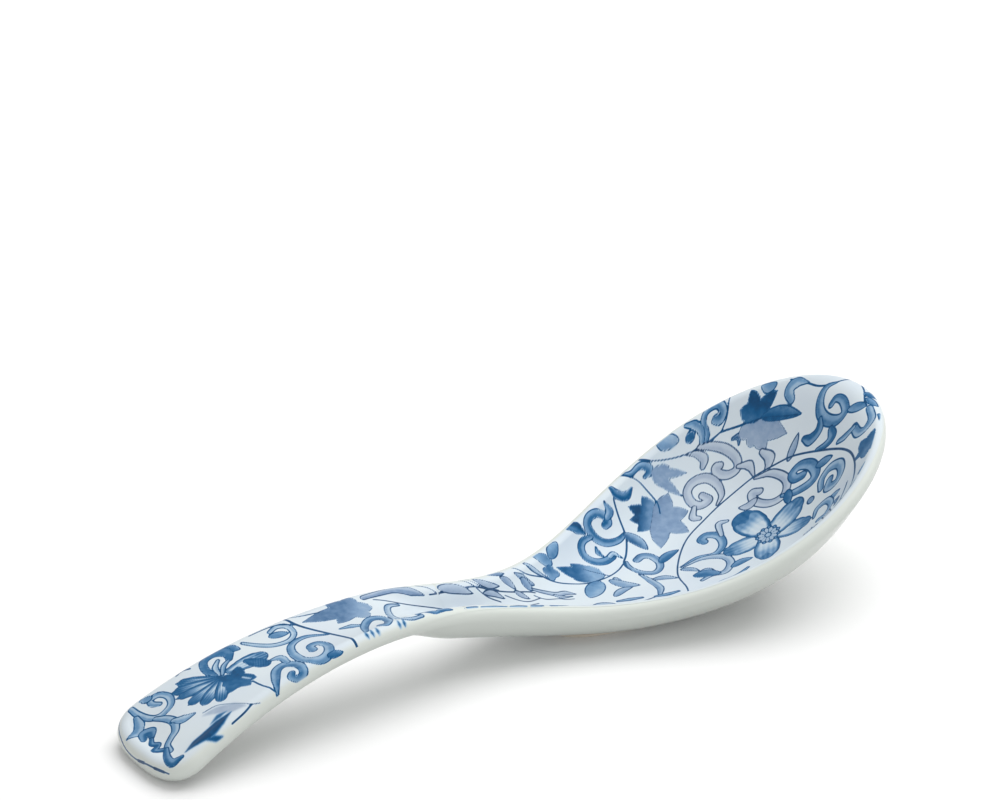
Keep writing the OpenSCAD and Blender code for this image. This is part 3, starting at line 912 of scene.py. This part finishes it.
def draw_handle_scrolls(d):
    """Scrolls, the crossing vine and the hazy leaf between the peony and the arch."""
    d.band((-74.6, -9.8, -73, -6.8, -71.4, -4.4, -69.6, -4, -68.3, -5.7, -68.4, -8.2, -69.7, -9,
            -70.8, -8.2, -70.2, -7.4), (0.15, 0.7, 0.85, 0.85, 0.8, 0.7, 0.6, 0.6, 0.5), 0.68)
    d.band((-70.8, -0.8, -69, -1.5, -68.8, -3.6), (0.1, 0.7, 0.5), 0.5)
    d.band((-71.6, 6.6, -69.6, 4, -67.6, 2.3, -65.2, 1.8, -63.5, 3, -63.5, 5.2, -65, 6.2, -66.6, 5.8),
           (0.25, 0.4, 0.45, 0.5, 0.5, 0.5, 0.45, 0.4), 0.36)
    d.leaf((-67.2, 4.9), (-64.1, 3.7), 1.5, 0.0, (0.62, 0.52))
    d.band((-59.2, -1, -62.6, 0.9, -65.6, 0.3, -66.8, -2.4, -66.6, -5.6, -65, -7.5, -62.8, -7.1,
            -61.4, -4.6, -61.9, -2.5, -63.4, -2.3, -63.8, -3.8),
           (0.15, 0.4, 0.6, 0.7, 0.75, 0.85, 0.9, 0.7, 0.6, 0.65, 0.7), 0.56)
    d.leaf((-63.2, -7.6), (-60.4, -7.9), 1.3, 0.0, (0.85, 0.7))
    d.vine((-63.2, 8, -62, 4.8, -60.2, 1.6, -58.8, -1, -57.8, -3.6, -57.5, -6, -57.6, -8.4), 0.22, 0.2)
    d.vine((-69.8, 7.4, -65.8, 6.9, -63.8, 6, -62.2, 4.8), 0.14, 0.2)
    d.lobes((-51.6, 3.3), (-60.8, 4.6, -55.9, 0.9, -55.2, 6.8, -51.2, 6.4, -48.4, 2.2, -50.3, -0.2), 3.2,
            (0.66, 0.42), 2.5, 0.45)
    d.vine((-62.2, 7.2, -60.6, 6.2, -57, 5.2), 0.1, 0.5)
    d.band((-48.4, 5, -45.4, 5.2, -42.4, 5.6, -39.6, 5.2, -37.2, 4.5), (0.5, 0.6, 0.8, 0.9, 0.1), 0.5, 0.7)
    d.band((-56.6, -0.8, -54.6, -1.3, -53.2, -2.2), (0.15, 0.6, 0.3), 0.5)
    d.band((-54.2, -5.4, -53, -2.9, -51, -1.2, -49.2, -1.8, -48.8, -3.8, -50, -5.4, -51.2, -5),
           (0.4, 0.7, 0.8, 0.8, 0.7, 0.6, 0.5), 0.66)
    for x in (-54.6, -53.5, -52.4, -48, -47):
        d.smear((x, -5.4, x - 0.2, -6.6, x - 0.2, -7.4), (0.3, 0.55, 0.3), 1.2)
    d.band((-43, 2.3, -45.4, 1.8, -46.8, -0.8, -47.2, -3, -47, -5, -45.4, -6.1, -43, -6.2),
           (0.2, 0.5, 0.55, 0.5, 0.4, 0.35, 0.3), 0.4, 0.3)
    d.band((-43.6, -5.2, -42.2, -4.6, -41, -5.6, -39.8, -6.4, -38.4, -6, -36.4, -6.8),
           (0.4, 0.75, 0.5, 0.35, 0.65, 0.1), 0.74)
    d.vine((-47, 4, -42, 2.6, -36, 2.2, -30, 1.4, -22, 1.6, -14, 2.4), 0.1, 0.9)


def draw_neck(d):
    """Small grey leaves and crossing lines over the neck, and the dashes on its near edge."""
    d.vine((-36, 4.6, -31, 5.2, -26.6, 5.9, -22.8, 5.4, -19.2, 5.2, -14.6, 5.4, -13, 5.2), 0.12, 0.8)
    d.leaf((-33.8, 5.6), (-27, 4.7), 1.9, 0.06, (0.4, 0.3), 0.8)
    d.vine((-37.4, 6.4, -35.6, 5.8, -34.2, 4.6), 0.1, 0.8)
    d.vine((-28.2, 8, -26.6, 6.4, -24.2, 4.2, -21.6, 3.2), 0.12, 0.8)
    d.vine((-26.6, 8, -25.2, 6.2, -21, 5.4), 0.1, 0.8)
    d.leaf((-25.4, 7.4), (-20.6, 6.2), 1.3, -0.1, (0.42, 0.34), 0.8)
    d.leaf((-24.6, 4.8), (-20.4, 3.9), 1.2, 0.1, (0.42, 0.34), 0.8)
    d.leaf((-19.6, 7.8), (-17, 5.8), 1.4, 0.1, (0.48, 0.38), 0.7)
    d.leaf((-21.6, 9), (-18.2, 8.8), 1.3, 0.0, (0.6, 0.5), 0.5)
    d.band((-15.8, 8.8, -14.4, 8.1, -12.6, 7), (0.2, 0.7, 0.3), 0.5, 0.5)
    d.leaf((-14.6, 8), (-13.4, 5.7), 1.7, 0.0, (0.58, 0.42), 0.5)
    d.leaf((-17.4, 5.4), (-15, 3.9), 1.1, 0.0, (0.42, 0.34), 0.8)
    d.band((-13.2, 6, -10.8, 5.2, -8.8, 4.4, -7, 4.4, -5.6, 3.5), (0.2, 0.4, 0.6, 0.6, 0.1), 0.42, 0.7)
    d.band((-9.4, 4.2, -8.4, 3.3, -6.6, 3), (0.3, 0.4, 0.1), 0.42, 0.7)
    d.vine((-13.6, 4.6, -11.8, 3.4, -9.4, 3, -8.4, 2.4, -6.8, 2), 0.12, 0.8)
    d.vine((-20, 4.5, -16, 3.2, -12.6, 3.9), 0.1, 0.9)
    d.vine((-34, -0.6, -26, -1.4, -18, -0.8, -10, 0.4), 0.1, 0.9)
    d.leaf((-30, -3.6), (-24, -4.4), 1.4, 0.08, (0.42, 0.34), 0.8)
    d.leaf((-17, -3.4), (-12, -4.6), 1.5, 0.08, (0.42, 0.34), 0.8)
    d.vine((-22, -2.6, -17, -3.4, -11, -6), 0.1, 0.8)
    for points in ((-33.4, -7.2, -31.2, -7.3), (-30.2, -7.5, -28, -7.8, -25.6, -8.2),
                   (-24.8, -8.3, -22.2, -8.7), (-21, -8.8, -19.4, -9), (-17.6, -9.2, -15, -9.7)):
        d.band(points, (0.35, 0.45, 0.3), 0.84)
    d.vine((-12.6, -10.4, -8.4, -12), 0.16, 0.4)


def draw_throat(d):
    """Leaves where the neck opens into the bowl."""
    d.band((4, 16, 2.4, 17.3, 0.4, 18.4, -0.6, 19), (0.1, 1.1, 1.0, 0.3), 1.1)
    d.leaf((-6.3, 11.2), (-9.8, 12.9), 2.3, 0.0, (0.55, 0.44))
    d.leaf((-6.1, 12.4), (-3.4, 15.2), 2.3, 0.0, (0.6, 0.46))
    d.vine((-12.8, 11.8, -12, 9.9, -9.6, 8.6, -7.4, 7.5, -4.4, 6.6, -1, 5.7, 2.8, 5.8, 5.6, 6.6, 7.6, 7.8),
           0.14, 0.2)
    d.vine((-15.6, 10.2, -13.2, 8.9, -9.8, 8.5), 0.12, 0.4)
    d.band((-12.4, 11, -10.8, 9.7, -8.2, 8.1), (0.3, 0.45, 0.1), 0.36, 0.3)
    d.lobes((1.6, 7.2), (-5.4, 10.4, -2, 10.9, 0.6, 9.6, -3.2, 7.6), 3.2, (0.86, 0.42), 2.9, 0.1, 0.3)
    d.vine((0, 9.5, 2, 7.7, 3.5, 5.9), 0.12, 0.2)
    d.lobes((-7.2, 9.3), (-8.8, 9.9, -6.8, 10.8, -5.4, 9.2, -7.8, 7.9), 1.7, (0.66, 0.5), 1.5, 0.1)
    d.leaf((0.6, 5.2), (-4, 1.2), 3.4, 0.0, (0.56, 0.4))
    d.leaf((3.8, 5), (3.4, 2.2), 1.3, 0.0, (0.42, 0.34), 0.5)
    d.leaf((0, -0.6), (4.8, 0.6), 1.5, 0.1, (0.5, 0.36), 0.3)
    d.leaf((2.6, 4.8), (6, 0.2), 2.0, -0.1, (0.5, 0.36), 0.3)
    d.vine((-9.6, -3, -4, -4.4, 1, -4.8, 7, -5), 0.14, 0.4)
    d.leaf((-6, -2.2), (-1.4, -3), 1.6, 0.1, (0.46, 0.36), 0.5)
    d.leaf((-5, -7.4), (1, -8.4), 1.8, 0.1, (0.5, 0.4), 0.4)


def draw_scroll_pair(d):
    """Two dark scrolls back to back at the bowl's root, on their own stem."""
    d.vine((12.2, 24.4, 12.9, 21.4, 12.6, 20.4, 12.4, 18, 12, 14, 11, 11.8, 9.4, 9.6, 7.8, 7.9, 7.6, 6,
            8.4, 4.4, 10, 2.8), 0.17)
    d.band((11.9, 13.9, 10, 13.2, 7.6, 13.4, 6, 14.6, 5.3, 16.2, 5.2, 17.8, 6.4, 18.9, 8.2, 19.1, 9.6, 18.2,
            9.8, 17, 8.9, 16.6), (0.35, 0.6, 0.75, 0.85, 0.85, 0.8, 0.75, 0.75, 0.75, 0.75, 0.7), 0.74)
    d.band((10, 17.9, 10.9, 18.8, 10.4, 20.7), (0.6, 0.8, 0.1), 0.6)
    d.band((5, 15.2, 3, 14.8, 1.9, 13.6, 1.9, 11.8, 3.2, 10.4, 5, 9.9, 6.8, 10.3),
           (0.4, 0.6, 0.7, 0.75, 0.75, 0.8, 0.7), 0.72)
    d.band((5.4, 11, 4.9, 12, 5, 13.2), (0.1, 0.5, 0.1), 0.8)
    d.band((6.6, 10.6, 7.6, 10.9, 8.4, 9.3), (0.5, 0.45, 0.1), 0.4)
    d.leaf((11.8, 14), (13.6, 8.8), 2.1, 0.1, (0.85, 0.42), 0.2)
    d.band((12.3, 23.2, 13.6, 21.2, 15.4, 20.3, 17, 21.2), (0.1, 0.8, 0.8, 0.15), 0.92)


def draw_maples(d):
    """Two lobed leaves on the far wall, dark on one side and hazy on the other."""
    d.band((15.4, 24.2, 17.6, 23.5, 19.6, 24, 21.2, 23.4, 21.6, 22.2, 20.2, 21.9),
           (0.2, 0.4, 0.5, 0.7, 0.7, 0.3), 0.68)
    d.lobes((22.4, 21.6), (27.9, 18.2, 25.2, 15.2, 22.8, 18.6, 25.4, 21.2), 1.9, (0.56, 0.46), 2.4, 0.6,
            0.3)
    d.lobes((19.2, 14.6), (18.4, 19, 15, 18.4, 14.2, 16, 14.4, 13.4), 2.9, (1.04, 0.55), 2.6, 0.15, 0.42)
    d.lobes((19.6, 13.8), (15.6, 7.6, 21.8, 7.7, 24.6, 12, 23.2, 17), 3.7, (0.56, 0.48), 2.2, 0.6, 0.1)
    d.vine((15.6, 24.2, 18.4, 22.2, 19.8, 19.4, 20.6, 16.6, 20.1, 14.6), 0.14)


def draw_far_vine(d):
    """The upper vine along the far wall with its grey scroll, leaf and curls."""
    d.vine((19.6, 25.2, 25, 22.6, 29, 21, 31.5, 20.3, 34.6, 19.4, 35.8, 19, 38, 17.2, 40.8, 14.6,
            42.6, 12.2, 45, 8.4), 0.15, 0.2)
    d.vine((39, 22.8, 37.4, 20.2, 35.7, 19.1), 0.14)
    d.band((32, 20, 33.4, 20.8, 33.4, 23, 34.5, 24.2, 36.5, 23.4, 37.2, 21.5, 36.3, 20.8, 35.4, 21.8),
           (0.3, 0.5, 0.55, 0.6, 0.6, 0.65, 0.7, 0.6), 0.62)
    d.band((32, 20.2, 32.7, 22, 32, 24, 30.3, 25.2), (0.4, 0.6, 0.6, 0.3), 0.55)
    d.leaf((24.4, 25.7), (28.6, 24), 2.4, 0.0, (0.5, 0.4), 0.2)
    d.spot((30.6, 23), 0.9, 0.8)
    d.band((31.4, 20.4, 33.4, 18.8, 35.2, 16.2, 35.9, 13.4, 35.2, 11.8, 33.6, 12.3, 32.4, 14, 32.5, 15.2,
            33.3, 14.8), (0.3, 0.6, 0.7, 0.7, 0.7, 0.7, 0.75, 0.75, 0.6), 0.32, 1.0)
    d.band((29, 20.9, 30.6, 19.8, 31.5, 18, 30.8, 17.1), (0.1, 0.5, 0.8, 0.5), 0.34, 0.9)
    d.band((35.4, 12, 36.7, 10.2, 36.2, 8), (0.3, 0.7, 0.2), 0.3, 1.0)
    d.band((36.8, 16.4, 37.7, 15.6, 37.2, 14.6), (0.2, 0.45, 0.1), 0.85, 0.3)


def draw_dark_leaf(d):
    """The large dark leaf near the far edge, hazy below its midrib."""
    d.lobes((40.6, 14.2), (42.8, 7.2, 39.6, 9.2, 37.8, 15.8, 38.4, 12.2), 2.9, (0.5, 0.4), 0.4, 0.75)
    d.lobes((41.2, 15.2), (42.1, 19, 39.5, 18.6, 45.2, 13.8), 2.5, (1.06, 0.78), 0.5, 0.0, 0.12)
    d.leaf((41.6, 14), (45.5, 6.6), 1.7, 0.06, (0.94, 0.7))
    d.vine((38, 17.2, 40.8, 14.6, 42.6, 12.2, 45.2, 7.2), 0.13)
    d.leaf((45.6, 14.8), (43.8, 17.6), 1.6, 0.1, (0.6, 0.45))
    d.leaf((40.5, 3.5), (43.7, 4.9), 1.4, 0.0, (0.5, 0.38), 0.6)
    d.band((39.1, 9.8, 39.2, 7.3, 37, 6), (0.4, 0.9, 0.2), 0.32, 0.9)


def draw_main_vine(d):
    """The long vine across the bowl's floor, with grey scrolls on its far side."""
    d.vine((10.4, -8.6, 11.8, -5.8, 13, -1.4, 16.6, 3.2, 20.8, 6.6, 25.8, 8.2, 29.6, 8.8, 33.2, 8.6,
            36.4, 7.6, 39.5, 5.2, 41.4, 3, 43, -0.4, 44.2, -4.4, 44.6, -8, 44, -11.2, 42, -15, 38.6, -19.4,
            34, -23), 0.14, 0.45)
    d.band((29, 9.2, 30.8, 10.4, 31.3, 12.8, 30.4, 15, 28.2, 16, 26.4, 15.2, 26, 13, 26.9, 11.4, 28.6, 11.3,
            28.2, 12.8), (0.2, 0.55, 0.75, 0.8, 0.8, 0.8, 0.8, 0.8, 0.75, 0.65), 0.32, 1.0)
    d.band((25.8, 11.8, 24.4, 10.2, 25, 9.2), (0.4, 0.7, 0.5), 0.32, 0.9)
    d.band((36, 7.4, 38, 5, 38.4, 1.2, 36.6, -0.8, 34.4, 0.3, 33.3, 3.3, 34, 5.5, 34.9, 4.4),
           (0.2, 0.6, 0.7, 0.7, 0.7, 0.75, 0.75, 0.65), 0.34, 0.9)
    d.leaf((33.8, 3.8), (30.9, 5.2), 1.6, 0.2, (0.36, 0.3), 0.9)
    d.band((36.2, -0.6, 37.4, -2.4, 39.6, -4.3, 41, -4.1, 41.6, -1.8, 40.8, 0.4, 39.4, 0.8, 39.1, -0.5,
            40, -1.6), (0.3, 0.6, 0.75, 0.8, 0.75, 0.7, 0.7, 0.7, 0.65), 0.64)
    d.leaf((41.8, -3.2), (43.5, -5.6), 1.3, 0.0, (0.7, 0.55))
    d.leaf((37.2, -0.9), (35.8, -3.2), 1.5, 0.0, (0.85, 0.65))


def draw_floor(d):
    """Scrolls and leaves on the near part of the bowl's floor."""
    d.band((8.4, 8, 8, 6, 8.7, 3.6, 10.3, 2.1, 12, 2.7, 13, 4.6, 12.8, 6.9, 11.6, 7.8, 10.3, 7.4),
           (0.2, 0.4, 0.5, 0.55, 0.6, 0.65, 0.7, 0.75, 0.7), 0.56, 0.2)
    d.leaf((13, 4), (17.6, 5), 1.9, 0.1, (0.85, 0.6))
    d.band((8, 3.2, 8.3, 0.2, 8.2, -2.8, 6.8, -4.8), (0.2, 0.6, 0.65, 0.3), 0.5, 0.3)
    d.leaf((8.8, 0.4), (12.4, -2.2), 1.2, 0.1, (0.5, 0.38), 0.4)
    d.band((14.8, 0.2, 18.4, 0.4, 21.2, -1.2, 23.6, -0.2, 24.5, 2.4, 23.4, 4.4, 22, 4.2, 22, 3.2),
           (0.15, 0.35, 0.5, 0.7, 0.75, 0.75, 0.75, 0.65), 0.6)
    d.band((25, 2.2, 26.4, 5, 27.8, 4.4), (0.4, 0.6, 0.3), 0.34, 0.6)
    d.band((15, 0, 18.8, -0.4, 21.6, -2.8, 21.6, -5.4, 19.4, -7, 17.2, -6, 15, -6),
           (0.15, 0.4, 0.65, 0.7, 0.6, 0.4, 0.3), 0.4, 0.35)
    d.leaf((14.3, -0.4), (16.5, -3.3), 1.0, 0.1, (0.5, 0.4), 0.4)
    d.leaf((16.7, -3.5), (18.3, -5), 1.0, 0.1, (0.5, 0.4), 0.4)
    d.leaf((8, -7.6), (4, -9.4), 1.7, 0.1, (0.7, 0.5))
    d.leaf((14.8, -3.8), (18.6, -6.8), 2.0, 0.1, (0.8, 0.6))
    d.leaf((20.8, -6.8), (24.6, -7.8), 1.5, 0.1, (0.7, 0.5))
    d.band((-0.6, -2.4, 1.6, -3, 3.8, -3.7), (0.2, 0.45, 0.2), 0.6, 0.2)
    d.band((5.8, -4.8, 8, -5.6, 10, -6), (0.2, 0.45, 0.2), 0.6)
    d.band((22.4, -9.6, 19.4, -10, 16.4, -9.4, 14.6, -10.6, 16, -11.8), (0.2, 0.45, 0.5, 0.5, 0.4), 0.6)


def draw_flower(d):
    """The five-petalled flower, with a ring of stamens round its eye."""
    heart = np.array((29.8, -5.3))
    for tip, width in (((22.2, -2.4), 4.2), ((25.8, -10.4), 4.8), ((35.2, -11), 3.5), ((37.2, -4.9), 4.8)):
        d.petal(heart, tip, width, (0.1, 0.78), 0.06, 0.16)
    d.petal((29.9, -4.4), (29.6, 3), 5.6, (0.1, 0.94), 0.05)
    d.spot(heart, 1.9, 0.3, 0.4)
    for i in range(11):
        turn = math.tau*i/11 + 0.3
        aim = np.array((math.cos(turn), math.sin(turn)))
        d.vine((heart + aim*0.8, heart + aim*1.8), 0.07, 0.3)
        d.spot(heart + aim*1.9, 0.3, 0.55)
    d.spot(heart, 0.55, 0.3)


def draw_front(d):
    """Scrolls and leaves round the bowl's front."""
    d.vine((47.6, 12.8, 48.6, 9.8, 49.3, 6.6, 50.4, 4.6, 51.6, 3.6, 53.4, 2.6, 54.4, 2), 0.16)
    d.band((48.9, 9, 47.9, 11.2, 46.4, 11.6, 45.8, 10), (0.1, 0.9, 0.9, 0.5), 0.52)
    d.band((51.3, 3.7, 49.8, 4.8, 48.2, 4.4, 47, 2.8, 46.7, 0.4, 47.3, -2, 48.6, -2.4, 49.5, -0.4,
            49.3, 1.2, 48.4, 1.4), (0.15, 0.5, 0.65, 0.7, 0.7, 0.7, 0.65, 0.6, 0.55, 0.5), 0.66)
    d.band((46.4, 2, 45.3, 1, 44, 1.6, 43.6, 3.2), (0.3, 0.75, 0.8, 0.3), 0.82)
    d.band((43.4, -1, 44.4, -2.4, 45.4, -2.8, 46.1, -1.5), (0.2, 0.5, 0.8, 0.4), 0.76)
    d.leaf((50.5, -5.8), (48.7, -2.8), 1.6, 0.0, (0.68, 0.52))
    d.vine((53.6, -0.6, 52.6, -2.6, 51.2, -4.6, 50.6, -6), 0.15)
    d.leaf((52.2, -3.2), (53.8, -6), 1.5, 0.0, (0.8, 0.6))
    d.leaf((51.6, -4.6), (51.8, -7.8), 1.3, 0.0, (0.7, 0.5))
    d.band((50.5, -7, 49.3, -9.3, 47.6, -9.8, 46.8, -8.8, 47.3, -6.8), (0.6, 0.65, 0.6, 0.65, 0.55), 0.55)
    d.band((47.3, -6.8, 46, -6, 45.2, -5), (0.35, 0.5, 0.3), 0.55)
    d.lobes((45.2, -13.6), (45.8, -11, 48, -12, 48.2, -15.2, 45.4, -16.8, 43.5, -16, 43.4, -13), 1.9,
            (0.86, 0.66), 1.6)
    d.band((50.6, -9.8, 49.8, -12, 48.9, -13.8, 48, -15.4), (0.3, 0.55, 0.5, 0.2), 0.66)
    d.band((39.4, -7.8, 40.6, -6.5, 42.2, -6.7, 42.9, -8.6, 42, -10.4, 40.6, -10.8, 39.8, -9.4, 40.8, -8.6),
           (0.45, 0.6, 0.65, 0.65, 0.65, 0.65, 0.7, 0.6), 0.52)
    d.spot((37.6, -7.3), 0.6, 0.5, 0.3)
    d.leaf((37.7, -12), (39.4, -13.9), 1.4, 0.0, (0.6, 0.45))
    d.band((35.2, -11.6, 36.7, -10.6, 38, -11.8, 37.4, -14, 35.8, -14.8, 34.8, -13.6),
           (0.2, 0.5, 0.55, 0.5, 0.4, 0.4), 0.5)
    d.leaf((40.2, -20.4), (43.1, -18.4), 1.5, 0.1, (0.8, 0.6))
    d.band((36.6, -21.8, 38.2, -20.6, 39.8, -22), (0.3, 0.5, 0.3), 0.6)
    d.band((34.4, -17.4, 36.4, -18.6, 35.2, -20.4, 33.4, -20), (0.3, 0.5, 0.5, 0.3), 0.5)
    d.leaf((30.6, -13.8), (33.8, -15.8), 1.7, 0.1, (0.6, 0.45))
    d.leaf((26.4, -12.6), (23, -14.6), 1.6, 0.1, (0.7, 0.5))
    d.band((27, -16.4, 29.6, -17.2, 31, -19.4, 29.4, -21), (0.2, 0.5, 0.5, 0.3), 0.55)


# How far past the rim's top the print goes, in millimetres: on the near side, as a curve along the
# spoon, and on the far side
NEAR_EDGE = ((-96.5, 4.0, 0), (-93.0, 2.9, 0), (-50.0, 2.6, 0), (-28.0, 2.5, 0), (-8.0, 1.2, -0.06),
             (10.0, 0.45, 0), (53.0, 0.45, 0))
FAR_EDGE = 1.75
# Where the far side's edge takes over: round the bowl's front along x, and on its near wall along v
FRONT_FROM, FRONT_RUN = 46.0, 3.0
ROUND_FROM, ROUND_RUN = -15.0, 9.0
# Distance over which the print's tone ends
TRIM_FADE = 0.25


def trim(sheet):
    """End the print near the lip: it folds over the rim on the far side and on the handle."""
    x, v = sheet.points[..., 0], sheet.flat[..., 1]
    near = curve(x, NEAR_EDGE)
    front = smooth((x - FRONT_FROM)/FRONT_RUN)
    side = np.where(v > 0, 1.0, smooth((v - ROUND_FROM)/ROUND_RUN)*front)
    allowed = near + (np.maximum(near, FAR_EDGE) - near)*side
    kept = limit((allowed - sheet.beyond)/TRIM_FADE)
    sheet.tone *= kept
    sheet.line = np.where(kept > 0.5, sheet.line, NO_LINE)


# The ink's colours on the glazed white at growing tones, pure and hazy, and the tone of a line
INK_STOPS = ((0.22, (184, 208, 226)), (0.45, (118, 160, 198)), (0.7, (52, 112, 160)), (0.9, (0, 90, 142)),
             (1.1, (0, 70, 116)))
GREY_STOPS = ((0.25, (188, 202, 218)), (0.5, (138, 158, 188)), (0.8, (84, 108, 140)), (1.1, (28, 62, 96)))
LINE_TONE = 1.02


def ink_colour(nodes, colour, tone, stops):
    """The ink's colour over the ground at each tone."""
    low = 0.0
    for high, ink in stops:
        colour = nodes.mix(nodes.ramp(tone, low, high), colour, srgb(*ink))
        low = high
    return colour


def make_print_material(name):
    """Blue under the glaze: filled shapes by their tone, thin dark outlines, and a fine mottle."""
    nodes = Paint(name)
    ground = ground_colour(nodes)
    blot = nodes.math("MULTIPLY", nodes.math("SUBTRACT", nodes.noise(900.0, 3.0), 0.5), 0.5)
    line = nodes.ramp(nodes.value("line"), LINE_HALF + 0.07, LINE_HALF - 0.05, kind="SMOOTHSTEP")
    full = nodes.math("MAXIMUM", nodes.value("tone"), nodes.math("MULTIPLY", line, LINE_TONE))
    uneven = nodes.math("MULTIPLY", full, nodes.math("ADD", blot, 1.0))
    blue, hazy = (ink_colour(nodes, ground, uneven, stops) for stops in (INK_STOPS, GREY_STOPS))
    return glazed(nodes, nodes.mix(nodes.value("grey"), blue, hazy))


# Step of the sheets' places along the spoon, and the gap between the two sheets at the neck
SHEET_STEP = 0.25
SEAM = 0.3
LIP_PLACES, END_PLACES = 150, 60


def run(start, stop):
    """Places after start, up to stop, a step apart."""
    return even(start, stop, int((stop - start)/SHEET_STEP))


def bowl_places():
    """The bowl sheet's places along the spoon, from the neck to the lip."""
    start = SEAM/2 - NECK_REACH
    return np.array([start] + run(start, WIDEST_REACH) + lip_places(LIP_PLACES))


def handle_places():
    """The handle sheet's places along the spoon, from the handle's end to the neck."""
    return np.array(end_places(END_PLACES) + run(END_ROUND - HANDLE_REACH, -NECK_REACH - SEAM/2))


def make_prints():
    """Both printed sheets, drawn on as one pattern and then trimmed at the rim."""
    bowl = Sheet(bowl_places(), across=112, over=12)
    handle = Sheet(handle_places(), across=42, over=18)
    mirrored = Drawing((bowl,), -1)
    for draw in (draw_scroll_pair, draw_maples, draw_far_vine):
        draw(mirrored)
    drawing = Drawing((bowl, handle))
    for draw in (draw_neck, draw_throat, draw_scroll_pair, draw_maples, draw_far_vine, draw_dark_leaf,
                 draw_main_vine, draw_floor, draw_flower, draw_front, draw_handle_end, draw_peony,
                 draw_handle_side, draw_handle_scrolls):
        draw(drawing)
    ink = make_print_material("cobalt_under_glaze")
    trim(bowl)
    trim(handle)
    return bowl.make("bowl_pattern", ink), handle.make("handle_pattern", ink)


make_camera()
make_light()
make_stage()
coat = make_glaze_coat()
coat.data.materials.append(make_glaze_material())
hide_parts("clear_glaze")
body = make_biscuit_body()
body.data.materials.append(make_biscuit_material())
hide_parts("porcelain_body")
bowl_pattern, handle_pattern = make_prints()
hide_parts("bowl_print")
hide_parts("handle_print")
